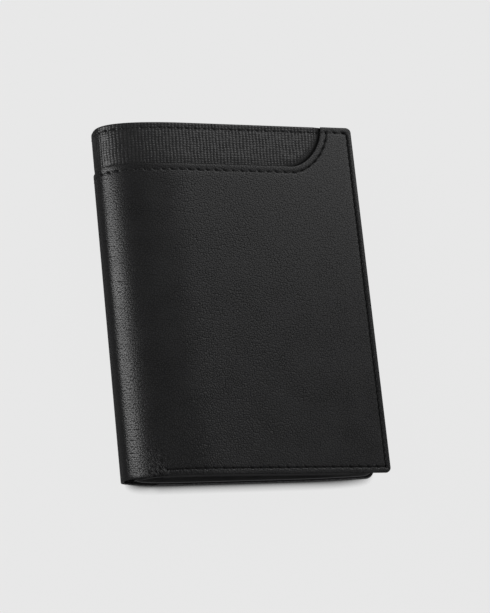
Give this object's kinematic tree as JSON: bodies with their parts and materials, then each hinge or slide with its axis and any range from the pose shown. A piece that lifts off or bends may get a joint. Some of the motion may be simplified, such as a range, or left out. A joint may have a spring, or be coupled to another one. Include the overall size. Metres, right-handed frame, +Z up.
{
  "type": "vertical wallet",
  "caption": "Vertical bifold leather wallet, closed: rounded spine, textured band over a scooped outside slip pocket, card slots and a coin pouch with a snap flap inside.",
  "frame": {"origin": "centre of the closed wallet's footprint, on the surface it lies on", "axes": "+Z up from the back cover to the front cover, +Y towards the head, where the textured band is, +X from the spine to the free edges"},
  "size_m": [0.092, 0.125, 0.0213],
  "materials": {
    "smooth_leather": "black fine-grained nappa leather, satin",
    "textured_leather": "black leather pressed with a fine crosshatch, satin",
    "inner_leather": "black thin leather, satin",
    "lining_cloth": "black twill lining, matte",
    "snap_metal": "black-plated press stud, semi-gloss"
  },
  "bodies": {
    "back_cover": {"back_leather": "smooth_leather", "back_textured_band": "textured_leather", "back_lining": "lining_cloth", "back_inner_panel": "inner_leather", "back_card_slot_1": "inner_leather", "back_card_slot_2": "inner_leather", "pouch_gusset": "inner_leather", "pouch_front": "inner_leather", "snap_stud": "snap_metal", "snap_post": "snap_metal"},
    "spine": {"spine_leather": "smooth_leather", "spine_textured_band": "textured_leather", "spine_lining": "lining_cloth", "spine_inner_strip": "inner_leather"},
    "front_cover": {"front_leather": "smooth_leather", "front_textured_panel": "textured_leather", "front_lining": "lining_cloth", "front_inner_panel": "inner_leather", "front_card_slot_1": "inner_leather", "front_card_slot_2": "inner_leather", "front_card_slot_3": "inner_leather", "front_card_slot_4": "inner_leather"},
    "coin_flap": {"coin_flap": "inner_leather", "snap_cap": "snap_metal", "snap_socket": "snap_metal"}
  },
  "joints": [
    {"name": "back_fold", "type": "hinge", "parent": "back_cover", "child": "spine", "pos_m": [-0.04255, 0, 0.00345], "axis": [0, -1, 0], "range_deg": [0, 90]},
    {"name": "front_fold", "type": "hinge", "parent": "spine", "child": "front_cover", "pos_m": [-0.04255, 0, 0.0179], "axis": [0, -1, 0], "range_deg": [0, 90]},
    {"name": "coin_flap_hinge", "type": "hinge", "parent": "back_cover", "child": "coin_flap", "pos_m": [-0.001, -0.0085, 0.00405], "axis": [-1, 0, 0], "range_deg": [0, 90]}
  ],
  "couplings": [
    {"joint": "front_fold", "follows": "back_fold", "ratio": 1},
    {"joint": "coin_flap_hinge", "follows": "back_fold", "ratio": 1}
  ]
}
